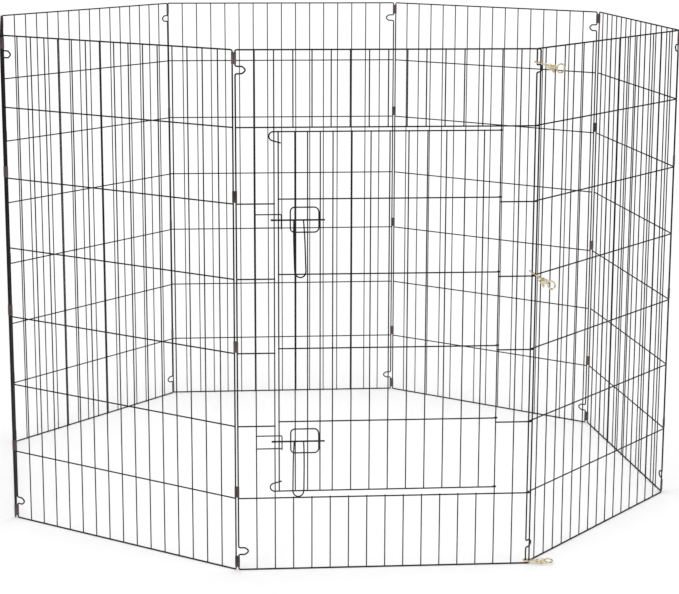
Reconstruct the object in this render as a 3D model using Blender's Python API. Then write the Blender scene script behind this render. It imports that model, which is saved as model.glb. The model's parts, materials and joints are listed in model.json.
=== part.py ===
"""Octagonal wire playpen for pets: eight welded wire panels joined by folded sheet hinge clips.

The front panel holds a door with two sliding bolts. The ring opens at the seam beside the front
panel, where three snap hooks hold the two posts together. Each wire panel is a flat grid, a few
millimetres deep, in the vertical plane of its posts. World frame: +Z up, the front panel runs along
+X, its outside faces -Y, and the undersides of the bottom wires lie on z = 0.
"""
import math

import bmesh
import bpy
from mathutils import Matrix, Vector

MM = 0.001

# Ring of panels. A panel is 24 in wide and 42 in tall, measured between hinge lines and wire axes.
LINK_PITCH = 609.6 * MM
POST_GAP = 6.0 * MM
PANEL_WIDTH = LINK_PITCH - POST_GAP
PANEL_HEIGHT = 1066.8 * MM
COLUMNS = 16
ROWS = 7
COLUMN_PITCH = PANEL_WIDTH / COLUMNS
ROW_PITCH = PANEL_HEIGHT / ROWS

# Wire sections, as squares with the area of the round wire they stand for.
FRAME_WIRE = 2.66 * MM
ROW_WIRE = 2.48 * MM
COLUMN_WIRE = 1.90 * MM
GRID_DEPTH = 2.66 * MM
LAP_OFFSET = 2.25 * MM
WIRE_AXIS_Z = FRAME_WIRE / 2
CORNER_RADIUS = 5.5 * MM
CORNER_STEPS = 2

# Ears: the left post of each panel steps into the panel, once near its top and once near its bottom.
EAR_FROM_END = 39.5 * MM
EAR_DEPTH = 20.3 * MM
EAR_HALF_HEIGHT = 7.4 * MM
EAR_NOSE = 7.5 * MM
EAR_NECK_RADIUS = 3.2 * MM
EAR_STEPS = 5

# Turns of the ring at its corners, in degrees, from the front panel's left corner round to the seam.
FRONT_LEFT_POST = (-0.2282, -0.7254)
CORNER_TURNS = (38.0, 47.1, 45.5, 49.0, 39.5, 45.8, 46.1)
PANEL_NAMES = (
    "panel_left_front",
    "panel_left",
    "panel_left_rear",
    "panel_rear",
    "panel_right_rear",
    "panel_right",
    "panel_right_front",
)

# Hinge clips: a sheet folded round the two posts of a corner. A clip leans from the panel before it
# towards the side that the next panel folds to, into the pen and out of it by turns, so that two
# folded panels lie side by side.
CLIP_LEANS = (25.0, -25.0, 25.0, -25.0, 25.0, -25.0, 25.0)
CLIP_HEIGHT = 21.0 * MM
CLIP_BORE = 2.15 * MM
CLIP_SHEET = 0.70 * MM
CLIP_ABOVE_ROW = 14.0 * MM
CLIP_BELOW_TOP = 16.7 * MM
CLIP_ABOVE_BOTTOM = 16.7 * MM
CLIP_LEVELS = {
    "bottom": CLIP_ABOVE_BOTTOM,
    "lower": ROW_PITCH + CLIP_ABOVE_ROW,
    "middle": 3 * ROW_PITCH + CLIP_ABOVE_ROW,
    "upper": 5 * ROW_PITCH + CLIP_ABOVE_ROW,
    "top": PANEL_HEIGHT - CLIP_BELOW_TOP,
}

# Doorway in the front panel, as column and row numbers of the grid.
DOORWAY_LEFT = 2
DOORWAY_RIGHT = 14
DOORWAY_BOTTOM = 1
DOORWAY_TOP = 6
LAPPED_COLUMNS = (1, DOORWAY_LEFT, DOORWAY_RIGHT)

# Door. Its wires stand in the plane of the grid and its rails end in eyes round a doorway wire.
DOOR_DEPTH = 2.0 * MM
DOOR_FRAME = 2.66 * MM
DOOR_WIRE = 1.90 * MM
DOOR_EDGE = 83.8 * MM
DOOR_CLOSE_START = 116.8 * MM
DOOR_CLOSE_PITCH = 25.25 * MM
DOOR_CLOSE_COUNT = 4
DOOR_WIDE_START = 230.3 * MM
DOOR_WIDE_COUNT = 8
DOOR_RAILS = (167.0 * MM, 314.0 * MM, 466.5 * MM, 619.0 * MM, 771.5 * MM, 906.0 * MM)
DOOR_EYE_BORE = 1.68 * MM
DOOR_EYE_RADIUS = 3.70 * MM
DOOR_RAIL_END = 1.9 * MM
EYE_HEIGHT = 2.5 * MM
CURL_REACH = 64.7 * MM
CURL_HEIGHT = 20.0 * MM

# Bolts: a rod held on the door by a wire guide, and a keeper on the front panel.
BOLT_HEIGHTS = {"upper": 729.7 * MM, "lower": 272.9 * MM}
ROD_RADIUS = 1.75 * MM
ROD_FRONT = -3.6 * MM
ROD_LEFT = 68.2 * MM
ROD_RIGHT = 176.5 * MM
ROD_TIP_RADIUS = 2.1 * MM
ROD_TIP_CHAMFER = 1.0 * MM
ROD_TIP_END = 5.0 * MM
ROD_TIP_NECK = 8.0 * MM
LATCH_WIRE = 2.35 * MM
LATCH_FRONT = -7.3 * MM
GUIDE_LEFT = 107.4 * MM
GUIDE_RIGHT = 163.9 * MM
GUIDE_HALF_HEIGHT = 25.2 * MM
GUIDE_BACK = -2.6 * MM
GUIDE_BEND = 7.0 * MM
HANDLE_LEFT = 112.6 * MM
HANDLE_RIGHT = 135.0 * MM
HANDLE_DROP = 116.0 * MM
HANDLE_TOP = 1.6 * MM
HANDLE_STEPS = 6
KEEPER_WIRE = 2.1 * MM
KEEPER_BACK = 4.15 * MM
KEEPER_LEFT = 36.4 * MM
KEEPER_RIGHT = 89.4 * MM
KEEPER_ABOVE = 10.0 * MM
KEEPER_BELOW = 17.0 * MM

# Snap hooks at the seam: height at the post, distance of the barrel's mouth from the post, droop
# and turn of the eye. Lengths run along the snap's axis from the mouth of its barrel.
SNAP_PLACES = {
    "top": (1039.4 * MM, 8.0 * MM, 14.0, 90.0),
    "middle": (613.2 * MM, 5.8 * MM, 33.0, 55.0),
    "bottom": (6.3 * MM, 8.5 * MM, 0.0, 8.0),
}
SNAP_FRONT = -3.75 * MM
HOOK_WIRE = 2.6 * MM
HOOK_WIDTH = 11.8 * MM
HOOK_NOSE = 13.8 * MM
HOOK_TIP = 8.6 * MM
HOOK_ROOT = (4.5 * MM, 3.4 * MM)
HOOK_BEND = (0.2 * MM, 3.7 * MM)
HOOK_RISE = ((-1.8 * MM, 0.62), (-4.8 * MM, 0.93), (-7.6 * MM, 1.0))
SHANK_RADIUS = 2.6 * MM
SHANK_LENGTH = 6.0 * MM
BARREL_START = 8.0 * MM
BARREL_FRONT_RADIUS = 3.7 * MM
BARREL_END = 19.8 * MM
BARREL_RADIUS = 5.3 * MM
BARREL_LENGTH = 21.5 * MM
SNAP_BORE = 1.75 * MM
CHAMBER_START = 11.0 * MM
CHAMBER_RADIUS = 3.2 * MM
GATE_RADIUS = 1.3 * MM
GATE_REAR = 8.5 * MM
GATE_GAP = 0.4 * MM
STUD_AT = 1.8 * MM
STUD_WIDTH = 1.3 * MM
STUD_REACH = 5.4 * MM
STUD_ROOT = 0.5 * MM
SLOT_WIDTH = 1.9 * MM
SLOT_START = 0.6 * MM
SLOT_END = 10.8 * MM
SLOT_DEPTH = 1.0 * MM
HEAD_START = 17.2 * MM
HEAD_END = 19.2 * MM
HEAD_RADIUS = 2.8 * MM
STEM_RADIUS = 1.4 * MM
EYE_CENTRE = 32.3 * MM
EYE_RADIUS = 8.3 * MM


def material(name, colour, metallic, roughness):
    """One Principled material."""
    made = bpy.data.materials.new(name)
    made.use_nodes = True
    shader = made.node_tree.nodes["Principled BSDF"]
    shader.inputs["Base Color"].default_value = (*colour, 1.0)
    shader.inputs["Metallic"].default_value = metallic
    shader.inputs["Roughness"].default_value = roughness
    made.diffuse_color = (*colour, 1.0)
    return made


def place(name, mesh, finish, matrix):
    """Add an object that shows the mesh at the given place."""
    made = bpy.data.objects.new(name, mesh)
    made.matrix_world = matrix
    bpy.context.scene.collection.objects.link(made)
    if not mesh.materials:
        mesh.materials.append(finish)
    return made


def mesh_from(name, bm):
    """Close a bmesh into mesh data, with its faces pointing out."""
    bmesh.ops.recalc_face_normals(bm, faces=bm.faces)
    mesh = bpy.data.meshes.new(name)
    bm.to_mesh(mesh)
    bm.free()
    return mesh


def cutter(name, mesh):
    """Add a hidden object for a Boolean to use."""
    made = bpy.data.objects.new(name, mesh)
    made.hide_render = True
    made.display_type = "WIRE"
    bpy.context.scene.collection.objects.link(made)
    return made


def boolean(target, tool, operation):
    """Put an exact Boolean on the target, with the tool riding at the target's own place."""
    tool.parent = target
    step = target.modifiers.new(tool.name, "BOOLEAN")
    step.object = tool
    step.operation = operation
    step.solver = "EXACT"


class Sheet:
    """A flat grid in the plane of u (along the panel) and z (up), given depth at the end."""

    def __init__(self):
        self.bm = bmesh.new()
        self.corners = {}

    def corner(self, u, z):
        key = (round(u * 1e7), round(z * 1e7))
        if key not in self.corners:
            self.corners[key] = self.bm.verts.new((u, 0.0, z))
        return self.corners[key]

    def quad(self, *points):
        self.bm.faces.new([self.corner(u, z) for u, z in points])

    def cell(self, left, right, low, high):
        self.quad((left, low), (right, low), (right, high), (left, high))

    def ribbon(self, path, width, closed):
        """A strip of the given width along a path, mitred at its bends."""
        count = len(path)
        sides = []
        for i, point in enumerate(path):
            before = path[i - 1] if i or closed else None
            after = path[(i + 1) % count] if i < count - 1 or closed else None
            ins = (point - before).normalized() if before is not None else None
            outs = (after - point).normalized() if after is not None else None
            along = ((ins or outs) + (outs or ins)).normalized()
            across = Vector((-along.y, along.x))
            straight = Vector((-(outs or ins).y, (outs or ins).x))
            reach = across * (width / 2 / across.dot(straight))
            sides.append((point - reach, point + reach))
        for i in range(count if closed else count - 1):
            here, there = sides[i], sides[(i + 1) % count]
            self.quad(here[0], there[0], there[1], here[1])

    def solid(self, name, depth):
        """Extrude the finished outline by the depth, half to each side of its plane."""
        bmesh.ops.translate(self.bm, verts=self.bm.verts, vec=(0, -depth / 2, 0))
        grown = bmesh.ops.extrude_face_region(self.bm, geom=self.bm.faces[:])
        moved = [item for item in grown["geom"] if isinstance(item, bmesh.types.BMVert)]
        bmesh.ops.translate(self.bm, verts=moved, vec=(0, depth, 0))
        return mesh_from(name, self.bm)


def arc(centre, radius, start, end, steps):
    """Points on a circular arc, angles in degrees, both ends included."""
    points = []
    for i in range(steps + 1):
        angle = math.radians(start + (end - start) * i / steps)
        points.append(Vector(centre) + radius * Vector((math.cos(angle), math.sin(angle))))
    return points


def ear_path(middle):
    """The upward run of a left post through one ear: neck, nose and neck again."""
    neck, half, flat = EAR_NECK_RADIUS, EAR_HALF_HEIGHT, EAR_DEPTH - EAR_NOSE
    lower = arc((neck, middle - half - neck), neck, 180, 90, 2)
    upper = arc((neck, middle + half + neck), neck, -90, -180, 2)
    nose = []
    for i in range(EAR_STEPS + 1):
        angle = math.pi * (i / EAR_STEPS - 0.5)
        nose.append(Vector((flat + EAR_NOSE * math.cos(angle), middle + half * math.sin(angle))))
    return lower + nose + upper


def edges(centre, width):
    return centre - width / 2, centre + width / 2


def frame_path():
    """The closed bent wire round a panel, with a point wherever a grid wire meets it."""
    wide, tall, base, bend = PANEL_WIDTH, PANEL_HEIGHT, WIRE_AXIS_Z, CORNER_RADIUS
    top = base + tall
    bars = [z for row in range(1, ROWS) for z in edges(base + row * ROW_PITCH, ROW_WIRE)]
    stems = [u for column in range(1, COLUMNS) for u in edges(column * COLUMN_PITCH, COLUMN_WIRE)]
    left = [Vector((0, z)) for z in bars]
    ears = ear_path(base + EAR_FROM_END), ear_path(top - EAR_FROM_END)
    path = arc((bend, base + bend), bend, 270, 180, CORNER_STEPS)
    path += ears[0] + left + ears[1]
    path += arc((bend, top - bend), bend, 180, 90, CORNER_STEPS)
    path += [Vector((u, top)) for u in stems]
    path += arc((wide - bend, top - bend), bend, 90, 0, CORNER_STEPS)
    path += [Vector((wide, z)) for z in reversed(bars)]
    path += arc((wide - bend, base + bend), bend, 0, -90, CORNER_STEPS)
    path += [Vector((u, base)) for u in reversed(stems)]
    return path


def whole_grid(column, row):
    return True, True


def doorway_grid(column, row):
    """Whether the front panel has the wire across this column gap, and the one up this row gap."""
    across = row not in range(DOORWAY_BOTTOM + 1, DOORWAY_TOP)
    across = across or column not in range(DOORWAY_LEFT, DOORWAY_RIGHT)
    beyond = row not in range(DOORWAY_BOTTOM, DOORWAY_TOP)
    up = beyond or column not in range(DOORWAY_LEFT + 1, DOORWAY_RIGHT)
    return across, up and column not in LAPPED_COLUMNS


def panel_mesh(name, has_wires):
    """A bent frame wire with a grid of rows and columns inside it."""
    sheet = Sheet()
    sheet.ribbon(frame_path(), FRAME_WIRE, closed=True)
    inset = FRAME_WIRE / 2
    stems = [edges(column * COLUMN_PITCH, COLUMN_WIRE) for column in range(COLUMNS + 1)]
    stems[0] = (-inset, inset)
    stems[-1] = (PANEL_WIDTH - inset, PANEL_WIDTH + inset)
    bars = [edges(WIRE_AXIS_Z + row * ROW_PITCH, ROW_WIRE) for row in range(ROWS + 1)]
    bars[0] = (WIRE_AXIS_Z - inset, WIRE_AXIS_Z + inset)
    bars[-1] = (WIRE_AXIS_Z + PANEL_HEIGHT - inset, WIRE_AXIS_Z + PANEL_HEIGHT + inset)
    for row in range(1, ROWS):
        for column in range(COLUMNS):
            if has_wires(column, row)[0]:
                sheet.cell(stems[column][1], stems[column + 1][0], *bars[row])
        for column in range(1, COLUMNS):
            beside = has_wires(column - 1, row)[0] or has_wires(column, row)[0]
            along = has_wires(column, row - 1)[1] or has_wires(column, row)[1]
            if beside or along:
                sheet.cell(*stems[column], *bars[row])
    for column in range(1, COLUMNS):
        for row in range(ROWS):
            if has_wires(column, row)[1]:
                sheet.cell(*stems[column], bars[row][1], bars[row + 1][0])
    return sheet.solid(name, GRID_DEPTH)


def sweep(points, radius, sides, closed=False, facing=Vector((0, 1, 0)), turn=0.0):
    """A wire of constant section along a path of straight runs, mitred at each bend.

    The section has the given number of sides and its corners on the radius. Facing is a direction
    across the first run that the section's first corner turns from, by the angle in radians.
    """
    bm = bmesh.new()
    count = len(points)
    last = count if closed else count - 1
    runs = [(points[(i + 1) % count] - points[i]).normalized() for i in range(last)]
    first = runs[0]
    side = (facing - first * facing.dot(first)).normalized()
    other = first.cross(side)
    ring = []
    for i in range(sides):
        angle = turn + 2 * math.pi * i / sides
        ring.append(points[0] + (side * math.cos(angle) + other * math.sin(angle)) * radius)
    if closed:
        mitre = (runs[-1] + first).normalized()
        ring = [p - first * ((p - points[0]).dot(mitre) / first.dot(mitre)) for p in ring]
    rings = [[bm.verts.new(p) for p in ring]]
    for i in range(1, count):
        run = runs[i - 1]
        ahead = runs[i] if i < last else run
        mitre = (run + ahead).normalized()
        ring = [p + run * ((points[i] - p).dot(mitre) / run.dot(mitre)) for p in ring]
        rings.append([bm.verts.new(p) for p in ring])
    for i in range(last):
        here, there = rings[i], rings[(i + 1) % count]
        for j in range(sides):
            k = (j + 1) % sides
            bm.faces.new((here[j], here[k], there[k], there[j]))
    if not closed:
        bm.faces.new(rings[0])
        bm.faces.new(rings[-1])
    return bm


def square_wire(points, width, closed=False, facing=Vector((0, 1, 0))):
    return sweep(points, width / math.sqrt(2), 4, closed, facing, math.pi / 4)


def lathe(profile, segments, closed):
    """Turn a profile of (distance along x, radius) about the x axis."""
    bm = bmesh.new()
    rings = []
    for along, radius in profile:
        ring = []
        for i in range(segments):
            angle = 2 * math.pi * i / segments
            ring.append(bm.verts.new((along, radius * math.cos(angle), radius * math.sin(angle))))
        rings.append(ring)
    pairs = list(zip(rings, rings[1:]))
    if closed:
        pairs.append((rings[-1], rings[0]))
    for here, there in pairs:
        for i in range(segments):
            k = (i + 1) % segments
            bm.faces.new((here[i], here[k], there[k], there[i]))
    if not closed:
        bm.faces.new(rings[0])
        bm.faces.new(rings[-1])
    return bm


def box(low, high):
    """A box between two opposite corners."""
    bm = bmesh.new()
    bmesh.ops.create_cube(bm, size=1.0)
    low, high = Vector(low), Vector(high)
    for vert in bm.verts:
        vert.co = [low[i] + (vert.co[i] + 0.5) * (high[i] - low[i]) for i in range(3)]
    return bm


def tube(rings):
    """Closed tube between four rings of vertices, given in order round its wall."""
    bm = bmesh.new()
    made = [[bm.verts.new(point) for point in ring] for ring in rings]
    for here, there in zip(made, made[1:] + made[:1]):
        for i in range(len(here)):
            k = (i + 1) % len(here)
            bm.faces.new((here[i], here[k], there[k], there[i]))
    return bm


def clip_mesh():
    """A flat sleeve round two posts, POST_GAP apart along x, open at both ends."""
    rings = []
    for grow, heights in ((CLIP_BORE, (-1, 1)), (CLIP_BORE + CLIP_SHEET, (1, -1))):
        wide, deep = POST_GAP / 2 + grow, grow
        outline = (wide, -deep), (wide, deep), (-wide, deep), (-wide, -deep)
        for end in heights:
            rings.append([(x, y, end * CLIP_HEIGHT / 2) for x, y in outline])
    return mesh_from("hinge_clip", tube(rings))


def door_columns():
    """Centres and widths of the door's upright wires, from its free edge to its hinge side."""
    close = [DOOR_CLOSE_START + i * DOOR_CLOSE_PITCH for i in range(DOOR_CLOSE_COUNT)]
    wide = [DOOR_WIDE_START + i * COLUMN_PITCH for i in range(DOOR_WIDE_COUNT)]
    return [(DOOR_EDGE, DOOR_FRAME)] + [(u, DOOR_WIRE) for u in close + wide]


def door_mesh():
    """The door's rails and uprights, with a curl at the free end of the top and bottom rails."""
    sheet = Sheet()
    pin = DOORWAY_RIGHT * COLUMN_PITCH
    stems = [edges(u, width) for u, width in door_columns()]
    bars = [edges(WIRE_AXIS_Z + z, DOOR_FRAME) for z in DOOR_RAILS]
    curl = bars[0][0] + CURL_HEIGHT, bars[-1][1] - CURL_HEIGHT
    joints = [edges(curl[0], DOOR_FRAME), edges(curl[1], DOOR_FRAME)]
    for low, high in bars:
        for i, stem in enumerate(stems):
            sheet.cell(*stem, low, high)
            end = stems[i + 1][0] if i + 1 < len(stems) else pin - DOOR_RAIL_END
            sheet.cell(stem[1], end, low, high)
    for i, stem in enumerate(stems):
        for j in range(len(bars) - 1):
            cuts = [bars[j][1], bars[j + 1][0]]
            if i == 0:
                cuts += [z for joint in joints for z in joint if cuts[0] < z < cuts[1]]
            cuts.sort()
            for low, high in zip(cuts, cuts[1:]):
                sheet.cell(*stem, low, high)
    left = CURL_REACH, CURL_REACH + DOOR_FRAME
    for (low, high), (near, far) in ((bars[0], joints[0]), (joints[1], bars[-1])):
        sheet.cell(left[1], stems[0][0], low, high)
        sheet.cell(left[1], stems[0][0], near, far)
        sheet.cell(*left, low, high)
        sheet.cell(*left, high, near)
        sheet.cell(*left, near, far)
    return sheet.solid("door", DOOR_DEPTH)


def join(parts, name):
    """One mesh that holds several separate bodies."""
    bm = bmesh.new()
    for part in parts:
        piece = mesh_from(name, part)
        bm.from_mesh(piece)
        bpy.data.meshes.remove(piece)
    return mesh_from(name, bm)


def door_eyes():
    """Six washers, one round the hinge wire at the height of each rail."""
    centre = (DOORWAY_RIGHT * COLUMN_PITCH, LAP_OFFSET)
    parts = []
    for rail in DOOR_RAILS:
        low, high = edges(WIRE_AXIS_Z + rail, EYE_HEIGHT)
        rings = []
        for radius, z in (
            (DOOR_EYE_BORE, low),
            (DOOR_EYE_BORE, high),
            (DOOR_EYE_RADIUS, high),
            (DOOR_EYE_RADIUS, low),
        ):
            rings.append([(p.x, p.y, z) for p in arc(centre, radius, 22.5, 337.5, 7)])
        parts.append(tube(rings))
    return join(parts, "door_eyes")


def lapped_wires():
    """The upright wires of the front panel that lie behind its rows, at the doorway's sides."""
    half = COLUMN_WIRE / 2
    bottom, top = WIRE_AXIS_Z, WIRE_AXIS_Z + PANEL_HEIGHT
    parts = []
    for column in LAPPED_COLUMNS:
        left, right = edges(column * COLUMN_PITCH, COLUMN_WIRE)
        parts.append(box((left, LAP_OFFSET - half, bottom), (right, LAP_OFFSET + half, top)))
    return join(parts, "lapped_wires")


def keeper_mesh(height):
    """A staple: two arms behind the door's edge, and a bar that stands out through the door."""
    z = WIRE_AXIS_Z + height
    upper, lower = z + KEEPER_ABOVE, z - KEEPER_BELOW
    path = [Vector((KEEPER_LEFT, KEEPER_BACK, upper)), Vector((KEEPER_RIGHT, KEEPER_BACK, upper))]
    path += [Vector((KEEPER_RIGHT, LATCH_FRONT, upper)), Vector((KEEPER_RIGHT, LATCH_FRONT, lower))]
    path += [Vector((KEEPER_RIGHT, KEEPER_BACK, lower)), Vector((KEEPER_LEFT, KEEPER_BACK, lower))]
    return mesh_from("keeper", square_wire(path, KEEPER_WIRE))


def guide_mesh():
    """The guide's closed wire, centred on the rod's height: it stands forward over the rod."""
    low, high, bend = -GUIDE_HALF_HEIGHT, GUIDE_HALF_HEIGHT, GUIDE_BEND
    path = []
    for u, order in ((GUIDE_LEFT, 1), (GUIDE_RIGHT, -1)):
        side = [Vector((u, GUIDE_BACK, low + bend)), Vector((u, LATCH_FRONT, low + 2 * bend))]
        side += [Vector((u, LATCH_FRONT, high - 2 * bend)), Vector((u, GUIDE_BACK, high - bend))]
        inward = bend if order == 1 else -bend
        side.insert(0, Vector((u + inward, GUIDE_BACK, low)))
        side.append(Vector((u + inward, GUIDE_BACK, high)))
        path += side[::order]
    return mesh_from("latch_guide", square_wire(path, LATCH_WIRE, closed=True))


def rod_mesh():
    """The bolt's round rod along x, centred on its axis, with a slightly swollen tip."""
    profile = [(ROD_LEFT, ROD_RADIUS), (ROD_LEFT + ROD_TIP_CHAMFER, ROD_TIP_RADIUS)]
    profile += [(ROD_LEFT + ROD_TIP_END, ROD_TIP_RADIUS), (ROD_LEFT + ROD_TIP_NECK, ROD_RADIUS)]
    profile.append((ROD_RIGHT, ROD_RADIUS))
    return mesh_from("bolt_rod", lathe(profile, 8, closed=False))


def handle_mesh():
    """A hairpin of wire that hangs in front of the rod, with its origin on the rod's axis."""
    front = LATCH_FRONT - ROD_FRONT
    middle = (HANDLE_LEFT + HANDLE_RIGHT) / 2
    bend = (HANDLE_RIGHT - HANDLE_LEFT) / 2
    path = [Vector((HANDLE_LEFT, front, HANDLE_TOP))]
    for point in arc((middle, bend - HANDLE_DROP), bend, 180, 360, HANDLE_STEPS):
        path.append(Vector((point.x, front, point.y)))
    path.append(Vector((HANDLE_RIGHT, front, HANDLE_TOP)))
    return mesh_from("bolt_handle", square_wire(path, LATCH_WIRE))


def snap_barrel_mesh():
    """A hollow turned body: narrow shank, then a barrel that widens to the swivel's neck."""
    profile = [(0, SHANK_RADIUS), (SHANK_LENGTH, SHANK_RADIUS), (BARREL_START, BARREL_FRONT_RADIUS)]
    profile += [(BARREL_END, BARREL_RADIUS), (BARREL_LENGTH, BARREL_RADIUS)]
    profile += [(BARREL_LENGTH, SNAP_BORE), (BARREL_END, SNAP_BORE), (BARREL_END, CHAMBER_RADIUS)]
    profile += [(CHAMBER_START, CHAMBER_RADIUS), (CHAMBER_START, SNAP_BORE), (0, SNAP_BORE)]
    return mesh_from("snap_barrel", lathe(profile, 8, closed=True))


def snap_hook_mesh():
    """The snap's hook: out from the shank, round the posts and back to the gate's axis."""
    nose = HOOK_WIDTH / 2
    path = [Vector(HOOK_ROOT), Vector(HOOK_BEND)]
    path += [Vector((along, share * HOOK_WIDTH)) for along, share in HOOK_RISE]
    path += arc((-HOOK_NOSE, nose), nose, 90, 270, 4)
    path.append(Vector((-HOOK_TIP, 0)))
    points = [Vector((p.x, p.y, 0)) for p in path]
    return mesh_from("snap_hook", square_wire(points, HOOK_WIRE, facing=Vector((0, 0, 1))))


def gate_mesh():
    """The sliding gate rod, on the snap's axis."""
    front = -HOOK_TIP + GATE_GAP
    rod = lathe([(front, GATE_RADIUS), (GATE_REAR, GATE_RADIUS)], 6, closed=False)
    return mesh_from("snap_gate", rod)


def swivel_mesh():
    """The swivel's stem and the head that holds it in the barrel."""
    ring_edge = EYE_CENTRE - EYE_RADIUS
    profile = [(HEAD_START, HEAD_RADIUS), (HEAD_END, HEAD_RADIUS)]
    profile += [(HEAD_END, STEM_RADIUS), (ring_edge, STEM_RADIUS)]
    return mesh_from("swivel_stem", lathe(profile, 6, closed=False))


def eye_ring_mesh():
    """The swivel's round eye, in the plane of x and y."""
    points = [Vector((p.x, p.y, 0)) for p in arc((EYE_CENTRE, 0), EYE_RADIUS, 0, 324, 9)]
    ring = square_wire(points, HOOK_WIRE, closed=True, facing=Vector((0, 0, 1)))
    return mesh_from("eye_ring", ring)


def ring_layout():
    """Left post and heading of each panel, in the order that the ring unfolds from its root."""
    left, heading = Vector(FRONT_LEFT_POST), 0.0
    panels = []
    corners = []
    for turn, lean in zip(CORNER_TURNS, CLIP_LEANS):
        across = heading - math.radians(lean)
        right = left - Vector((math.cos(across), math.sin(across))) * POST_GAP
        corners.append(((left + right) / 2, across))
        heading -= math.radians(turn)
        left = right - Vector((math.cos(heading), math.sin(heading))) * PANEL_WIDTH
        panels.append((left, heading))
    return panels, corners


def build_front_panel(finish):
    mesh = panel_mesh("door_panel", doorway_grid)
    panel = place("door_panel", mesh, finish, Matrix.Translation((*FRONT_LEFT_POST, 0)))
    boolean(panel, cutter("lapped_wires", lapped_wires()), "UNION")
    for level, height in BOLT_HEIGHTS.items():
        boolean(panel, cutter("keeper_" + level, keeper_mesh(height)), "UNION")


def build_ring(finish, clip_finish):
    """The seven plain panels and the clips of the seven hinged corners."""
    panels, corners = ring_layout()
    grid = panel_mesh("plain_panel", whole_grid)
    for name, (left, heading) in zip(PANEL_NAMES, panels):
        at = Matrix.Translation((*left, 0)) @ Matrix.Rotation(heading, 4, "Z")
        place(name, grid, finish, at)
    clip = clip_mesh()
    for number, (middle, heading) in enumerate(corners, 1):
        for level, height in CLIP_LEVELS.items():
            at = Matrix.Translation((*middle, WIRE_AXIS_Z + height))
            at = at @ Matrix.Rotation(heading, 4, "Z")
            place(f"hinge_clip_{number}_{level}", clip, clip_finish, at)


def build_door(finish):
    """The door hangs on an empty that stands on the hinge wire."""
    pin = DOORWAY_RIGHT * COLUMN_PITCH
    axis = bpy.data.objects.new("door_axis", None)
    left, front = FRONT_LEFT_POST
    axis.matrix_world = Matrix.Translation((left + pin, front + LAP_OFFSET, 0))
    bpy.context.scene.collection.objects.link(axis)
    door = place("door", door_mesh(), finish, Matrix.Translation((-pin, -LAP_OFFSET, 0)))
    door.parent = axis
    boolean(door, cutter("door_eyes", door_eyes()), "UNION")


def build_bolts(finish):
    """Guide, rod and handle, once for each bolt, with shared meshes."""
    guide, rod, handle = guide_mesh(), rod_mesh(), handle_mesh()
    for level, height in BOLT_HEIGHTS.items():
        at = Matrix.Translation((*FRONT_LEFT_POST, WIRE_AXIS_Z + height))
        on_rod = at @ Matrix.Translation((0, ROD_FRONT, 0))
        place(f"bolt_guide_{level}", guide, finish, at)
        place(f"bolt_rod_{level}", rod, finish, on_rod)
        place(f"bolt_handle_{level}", handle, finish, on_rod)


def build_snaps(finish):
    """Hook with barrel, gate and swivel eye, once for each snap, at the front panel's right post."""
    barrel, hook, gate, swivel, ring = (
        snap_barrel_mesh(),
        snap_hook_mesh(),
        gate_mesh(),
        swivel_mesh(),
        eye_ring_mesh(),
    )
    gap = SLOT_WIDTH / 2
    slot = box((SLOT_START, -2 * SHANK_RADIUS, -gap), (SLOT_END, -SLOT_DEPTH, gap))
    slot = mesh_from("slot", slot)
    half = STUD_WIDTH / 2
    stud = box((STUD_AT - half, -STUD_REACH, -half), (STUD_AT + half, -STUD_ROOT, half))
    stud = mesh_from("stud", stud)
    for level, (height, from_post, droop, eye_turn) in SNAP_PLACES.items():
        left, front = FRONT_LEFT_POST
        at = Matrix.Translation((left + PANEL_WIDTH, front + SNAP_FRONT, height))
        at = at @ Matrix.Rotation(math.radians(droop), 4, "Y")
        at = at @ Matrix.Translation((from_post, 0, 0))
        body = place(f"snap_hook_{level}", barrel, finish, at)
        boolean(body, cutter(f"hook_{level}", hook), "UNION")
        boolean(body, cutter(f"slot_{level}", slot), "DIFFERENCE")
        bolt = place(f"snap_gate_{level}", gate, finish, at)
        boolean(bolt, cutter(f"stud_{level}", stud), "UNION")
        turned = at @ Matrix.Rotation(math.radians(eye_turn), 4, "X")
        eye = place(f"snap_eye_{level}", swivel, finish, turned)
        boolean(eye, cutter(f"ring_{level}", ring), "UNION")


def main():
    for old in list(bpy.data.objects):
        bpy.data.objects.remove(old)
    wire = material("black_wire", (0.015, 0.014, 0.014), 0.0, 0.42)
    sheet = material("clip_sheet", (0.030, 0.020, 0.018), 0.2, 0.40)
    brass = material("pale_brass", (0.72, 0.60, 0.36), 1.0, 0.28)
    build_front_panel(wire)
    build_ring(wire, sheet)
    build_door(wire)
    build_bolts(wire)
    build_snaps(brass)


main()
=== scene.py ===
"""Looks of the octagonal wire pet playpen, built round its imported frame.

Every wire is a round swept wire on the axis of its CAD counterpart. Each panel is drawn in its own
frame: u runs from its left post to its right post as seen from outside, v into the pen, z up from
the axis of its bottom wire.
"""

import json
import math
import random

import bpy
from mathutils import Matrix, Vector


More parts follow.
